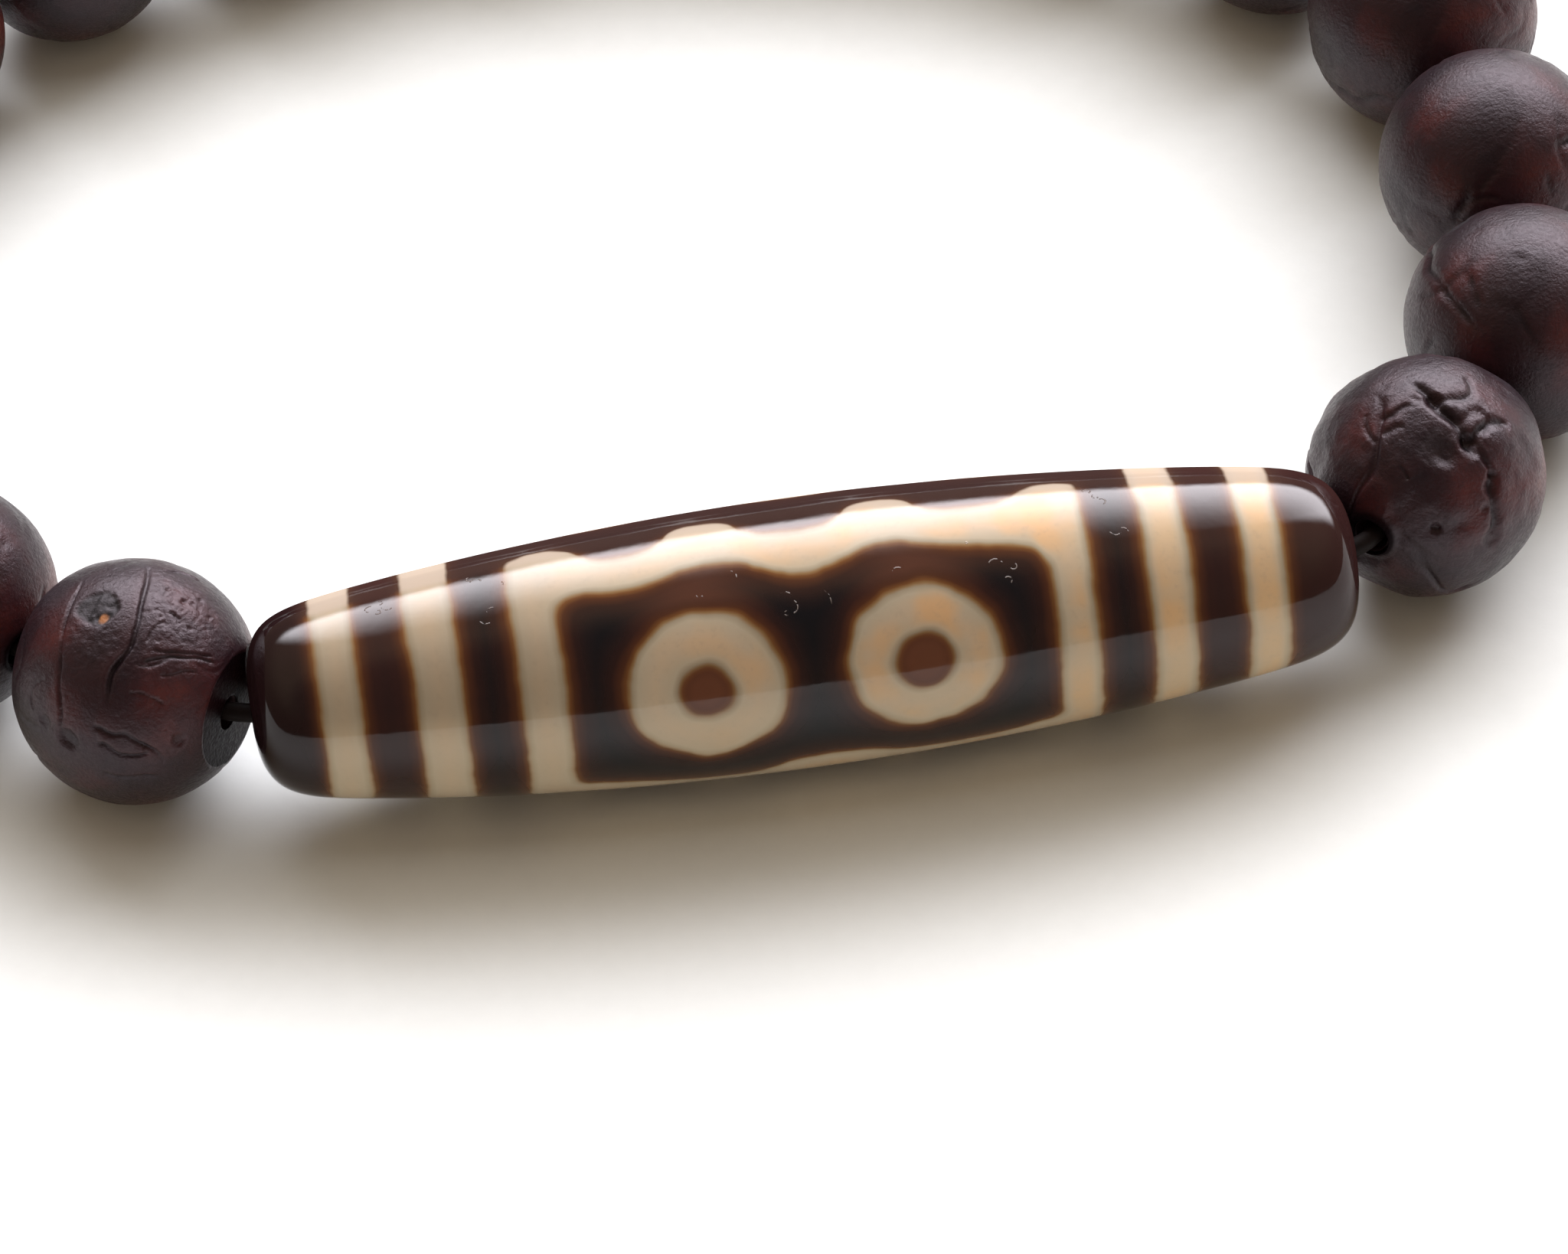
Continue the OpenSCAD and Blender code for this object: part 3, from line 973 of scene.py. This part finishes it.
def natural_creases(radius, rng):
    """Short curved creases, scattered as they grow: width, depth, fold and points."""
    rows = []
    for _ in range(GROWN_CREASES):
        centre = unit_of(rng.normal(size=3))
        side = unit_of(np.cross(centre, rng.normal(size=3)))
        other = np.cross(centre, side)
        length = rng.uniform(0.9, 3.6)
        bend = rng.uniform(-0.5, 0.5)
        line = []
        for s in np.linspace(-0.5, 0.5, 6):
            p = radius * centre + side * s * length + other * bend * (s * s * 4 - 1) * length * 0.5
            line.append(unit_of(p) * radius)
        rows.append((rng.uniform(0.09, 0.14), rng.uniform(0.04, 0.11), rng.uniform(0.02, 0.06), line))
    return rows


def natural_pits(radius, rng):
    """Pits in a few clusters: radius, depth and point."""
    rows = []
    for _ in range(PIT_CLUSTERS):
        cluster = rng.normal(size=3)
        for _ in range(PITS_IN_CLUSTER):
            centre = radius * unit_of(cluster + rng.normal(size=3) * 0.28)
            rows.append((rng.uniform(0.12, 0.26), rng.uniform(0.04, 0.12), centre))
    return rows


def charted_marks(number, radius, heading):
    """Creases and pits of a seed seen closely, from its tables."""
    creases, pits = CHARTED[number]
    creases = [
        (width, deep, fold, rounded([chart_point(*place, radius, heading) for place in line]))
        for width, deep, fold, line in creases
    ]
    return creases, [(size, deep, chart_point(*place, radius, heading)) for size, deep, *place in pits]


def grown_marks(number, radius, spin, lean):
    """Seam, creases and pits of a seed that isn't charted."""
    rng = np.random.default_rng(100 + number)
    creases = [(*SEAM, seam_line(number, radius, spin, lean))]
    creases += natural_creases(radius, rng)
    return creases, natural_pits(radius, rng)


def base_skin(number, points):
    """Depth of the lumpy, leathery skin, and how far it lies in one of its folds, 0 to 1."""
    lump, lump_height, mean, fold_depth = LUMPY_SEED_LUMPS if number in LUMPY_SEEDS else SEED_LUMPS
    leather = fractal(points, 0.55, number * 31 + 7)
    rough = 0.5 + 0.5 * noise(points, 2.4, number * 37 + 1)
    depth = mean + lump_height * fractal(points, lump, number * 31)
    depth += (0.008 + 0.022 * rough) * leather
    # Folds run where a smooth noise passes through nought, in the places that another noise picks
    valley = np.exp(-(noise(points, 1.9, number * 41 + 2) / 0.10) ** 2)
    folded = valley * smooth_step(-0.1, 0.45, noise(points, 2.6, number * 43 + 9))
    return depth + fold_depth * folded, folded


def fold_sides(signed, width):
    """The lip on one side of a crease and the hollow on its other side, 0 to 1."""
    raised = smooth_step(-0.6 * width, 1.1 * width, signed)
    raised = raised * np.exp(-np.clip(signed, 0, None) / LIP_REACH)
    sunk = smooth_step(0.05, -0.10, signed) * np.exp(-np.clip(-signed, 0, None) / HOLLOW_REACH)
    return raised, sunk


def cut_creases(number, points, warp, creases):
    """Depth of the creases and their folds, and where creases and lips lie, 0 to 1, for the painted
    shade in the creases and the lips' colour.
    """
    uneven = 1 + 0.45 * noise(points, 0.7, number * 13 + 5)
    wrinkles = np.abs(noise(points, 0.30, number * 19 + 3))
    depth, crease_shade, lips, near_any = np.zeros((4, len(points)))
    for width, deep, fold, line in creases:
        gap, side, share = beside_line(points + warp, line)
        fade = smooth_step(0, 0.16, share) * smooth_step(1, 0.80, share) * uneven
        cut = np.exp(-(gap / (width * (0.7 + 0.3 * uneven))) ** 2) * np.clip(fade, 0, 1.3)
        raised, sunk = fold_sides(gap * side * np.sign(fold), width)
        step = abs(fold) * (raised - 0.45 * sunk) * np.clip(fade, 0, 1.3)
        depth = depth + deep * cut - step
        crease_shade = np.maximum(crease_shade, cut * min(1, deep / 0.12))
        lips = np.maximum(lips, raised * np.clip(fade, 0, 1) * min(1, abs(fold) / 0.07))
        near_any = np.maximum(near_any, np.exp(-gap / 0.5) * np.clip(fade, 0, 1))
    return depth + 0.030 * near_any * (wrinkles - 0.3), crease_shade, lips


def cut_pits(points, pits):
    """Depth of the pits, and how much painted shade darkens them, 0 to 1."""
    depth, hollow_shade = np.zeros((2, len(points)))
    for size, deep, centre in pits:
        gap = np.linalg.norm(points - centre, axis=1)
        cut = np.exp(-(gap / size) ** 4)
        depth = depth + deep * cut
        hollow_shade = np.maximum(hollow_shade, min(0.9, 4 * size * size + 0.1) * cut)
    return depth, hollow_shade


def disc(points, centre, inner, outer):
    """1 near a centre, falling to 0 between two distances from it."""
    return 1 - smooth_step(inner, outer, np.linalg.norm(points - centre, axis=1))


def wrinkled_patches(number, points, warp, radius, heading):
    """Depth of the finely wrinkled patches."""
    depth = np.zeros(len(points))
    for size, deep, *place in WRINKLED.get(number, []):
        patch = disc(points, chart_point(*place, radius, heading), 0.4 * size, size)
        folded = np.abs(fractal(points + 2 * warp, 0.34, number * 23 + 1, 2))
        depth += deep * patch * (1 - 2 * np.clip(folded, 0, 0.5)) ** 3
    return depth


def seed_relief(number, unit, radius, heading, spin, lean):
    """Depth of the skin below its envelope in mm, and where creases and other marks lie, 0 to 1, which
    set the painted shade in creases, folds and pits and the painted highlight on the lips.
    """
    points = unit * radius
    warp = np.stack([noise(points, 0.8, number * 7 + k) for k in range(3)], axis=1) * 0.06
    if number in CHARTED:
        creases, pits = charted_marks(number, radius, heading)
    else:
        creases, pits = grown_marks(number, radius, spin, lean)
    depth, folded = base_skin(number, points)
    crease_depth, crease_shade, lips = cut_creases(number, points, warp, creases)
    pit_depth, pit_shade = cut_pits(points + warp, pits)
    depth += crease_depth + pit_depth + wrinkled_patches(number, points, warp, radius, heading)

    # The eye is the sprouting spot, a shallow rough hollow beside the seam
    if number in EYE_PLACES:
        centre = chart_point(*EYE_PLACES[number], radius, heading)
    else:
        centre = radius * from_mark_frame(ball_point(*EYE_BESIDE_SEAM), spin, lean)
    eye = disc(points + 4.5 * warp, centre, 0.70, 0.98) * EYE_STRENGTH.get(number, 0.8)
    depth += eye * (0.09 + 0.07 * noise(points, 0.22, number + 900))
    speck = np.zeros(len(points))
    if number in SPECK_PLACES:
        centre = chart_point(*SPECK_PLACES[number], radius, heading)
        speck = disc(points + 2 * warp, centre, 0.12, 0.24) * (0.75 + 0.25 * noise(points, 0.15, 5))
    # Painted shade: darker in the creases, in the folds and in the pits
    hollow_shade = np.maximum(np.maximum(0.35 * folded, crease_shade), pit_shade)
    return depth, {"crease_shade": hollow_shade, "eye": eye, "lip_highlight": lips, "speck": speck}


def seed_frame(heading):
    """Rows are a seed's own directions, with its hole along X, seen in the bracelet's."""
    turn = math.radians(heading)
    return np.array([
        [math.cos(turn), math.sin(turn), 0],
        [-math.sin(turn), math.cos(turn), 0],
        [0, 0, 1],
    ])


def make_seed(number, row, material):
    x, y, radius, heading, off, spin, lean = row
    first_rise = FIRST_RISE if number == 1 else 0.0
    frame = seed_frame(heading)
    grid = seed_grid(radius, off, first_rise, *(FINE_GRID if number in CHARTED else PLAIN_GRID))
    unit = grid.reshape(-1, 3)
    reach = seed_envelope(number, unit[:, 0], radius)
    limit = bedded(unit @ frame, reach, (x, y, radius)) if number in (1, len(SEEDS)) else reach
    if number in FACE_SHARE:
        limit = np.minimum(limit, FACE_SHARE[number] * radius / np.maximum(unit[:, 0], 0.2))
    depth, marks = seed_relief(number, unit, radius, heading, spin, lean)

    # The relief fades out at the mouths of the hole
    flat = unit * reach[:, None]
    rise = np.where(unit[:, 0] < 0, first_rise, 0)
    from_hole = np.hypot(flat[:, 1] - off, flat[:, 2] - rise)
    fade = smooth_step(SEED_MOUTH, SEED_MOUTH + MOUTH_FADE_REACH, from_hole)
    fade = np.where(np.abs(unit[:, 0]) > 0.5, fade, 1.0)
    lowered = reach - np.clip(depth, 0.005, 1.0) * fade
    skin = (unit * np.minimum(lowered, limit)[:, None]).reshape(grid.shape)
    # Painted shade: the skin is darkened in the long bead's bed, where shade falls between the parts,
    # and round the mouths of the hole
    marks["bed_and_hole_shade"] = np.maximum(0.9 * (limit < reach - 0.08), 1 - fade)

    bore = bore_rings(skin, off, first_rise)
    rings = np.concatenate([skin, bore]) @ frame
    seed = grid_object("seed_%02d" % number, rings, (x, y, radius), material)
    inside = np.zeros(bore.shape[0] * bore.shape[1])
    for name, values in marks.items():
        add_values(seed, name, np.concatenate([values, inside]))
    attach(seed, "root")
    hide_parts("bodhi_seed_%02d" % number)


def seed_material():
    n = Nodes("bodhi_seed")
    where = n.object_place()
    colour = n.ramp(n.noise(where, 0.30, 3.0), [
        (0.34, 29, 19, 24),
        (0.50, 42, 22, 26),
        (0.62, 62, 27, 28),
        (0.72, 82, 35, 30),
    ])
    grain = n.noise(where, 6.0, 4.0, 0.6)
    colour = n.mix(n.spread(grain, 0.35, 0.75, 0.0, 0.35), colour, srgb(20, 14, 19))
    # The lips beside the folds are paler and redder, partly worn skin and partly a painted highlight on
    # the raised edge
    colour = n.tint(colour, n.value_of("lip_highlight"), 0.28, srgb(84, 44, 42))
    # Painted shade in the creases, folds and pits
    colour = n.tint(colour, n.value_of("crease_shade"), 0.80, srgb(14, 10, 13))
    # Painted shade in the long bead's bed and round the holes, with less reflection there
    bed_and_hole_shade = n.value_of("bed_and_hole_shade")
    colour = n.tint(colour, bed_and_hole_shade, 0.85, srgb(14, 10, 13))

    # The sprouting spot is green-black and rough, and may have an ochre speck in it
    eye = n.value_of("eye")
    mottle = n.spread(n.noise(where, 2.3, 3.0), 0.45, 0.65)
    spot = n.mix(mottle, srgb(12, 15, 15), srgb(38, 38, 40))
    colour = n.tint(colour, eye, 0.94, spot)
    n.set("Base Color", n.mix(n.value_of("speck"), colour, srgb(168, 110, 60)))
    rough = n.spread(grain, 0.3, 0.7, 0.30, 0.46)
    n.set("Roughness", n.math("MULTIPLY_ADD", eye, 0.2, rough))
    n.set("IOR", 1.44)
    n.set("Specular Tint", (1.0, 0.88, 0.96, 1))
    n.set("Specular IOR Level", n.spread(bed_and_hole_shade, 0.4, 0.9, 0.5, 0.06))
    skin = n.bump(n.noise(where, 14.0, 3.0, 0.6), 0.00002, 0.4)
    n.set("Normal", n.bump(grain, 0.00005, 0.75, skin))
    return n.material


# Elastic cord

def cord_corners():
    """Where the threads of neighbouring beads meet, from the right end of the long bead on."""
    x, y, z = DZI_MIDDLE
    bend = DZI_LENGTH / 2 + END_BEND
    right_end = np.array([x + bend, y, SEEDS[0][2] + FIRST_RISE])
    left_end = np.array([x - bend, y, SEEDS[-1][2]])
    for end in (right_end, left_end):
        end[2] += LONG_BEAD_SHARE * (z - end[2])
    lines = []
    for x, y, radius, heading, off, *_ in SEEDS:
        along, left = seed_frame(heading)[:2, :2]
        lines.append((np.array([x, y]) + off * left, along, radius))
    corners = [right_end]
    for (before, before_along, r_before), (place, along, radius) in zip(lines[:-1], lines[1:]):
        step = np.linalg.solve(np.stack([along, -before_along], axis=1), before - place)
        corners.append(np.array([*(place + step[0] * along), (r_before + radius) / 2]))
    return corners + [left_end]


def cord_path():
    """Closed run of points with each corner rounded."""
    corners = cord_corners()
    path = []
    for k, corner in enumerate(corners):
        following = corners[(k + 1) % len(corners)]
        ahead = CORD_BEND_REACH * unit_of(following - corner)
        behind = CORD_BEND_REACH * unit_of(corners[k - 1] - corner)
        first, last, end = corner + behind, corner + ahead, following - ahead
        for t in np.linspace(0, 1, 6):
            path.append(first * (1 - t) ** 2 + corner * 2 * t * (1 - t) + last * t * t)
        for t in np.linspace(0, 1, 10)[1:-1]:
            path.append(last * (1 - t) + end * t)
    return np.array(path)


def cord_material():
    n = Nodes("elastic_cord")
    metres = n.add("ShaderNodeTexCoord").outputs["Object"]
    fibre = n.noise(metres, 4000.0, 3.0)
    n.set("Base Color", n.mix(fibre, srgb(16, 12, 12), srgb(28, 20, 19)))
    n.set("Roughness", n.spread(fibre, 0, 1, 0.5, 0.7))
    n.set("Specular IOR Level", 0.12)
    return n.material


def make_cord():
    path = cord_path()
    ahead = unit_of(np.roll(path, -1, axis=0) - np.roll(path, 1, axis=0))
    side = unit_of(np.cross(ahead, (0, 0, 1)))
    up = np.cross(side, ahead)
    turn = np.linspace(0, 2 * math.pi, CORD_SIDES, endpoint=False)[:, None]
    round_cord = np.cos(turn) * side[:, None] + np.sin(turn) * up[:, None]
    rings = path[:, None] + CORD_RADIUS * CORD_MESH_SHARE * round_cord
    cord = grid_object("cord", rings, (0, 0, 0), cord_material())
    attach(cord, "root")
    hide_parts("elastic_cord")


# Build

bpy.context.scene.view_settings.view_transform = "Standard"
make_camera()
make_room()
for row in LAMPS:
    make_lamp(*row)
make_floor()
make_dzi()
seed_skin = seed_material()
for number, row in enumerate(SEEDS, 1):
    make_seed(number, row, seed_skin)
make_cord()
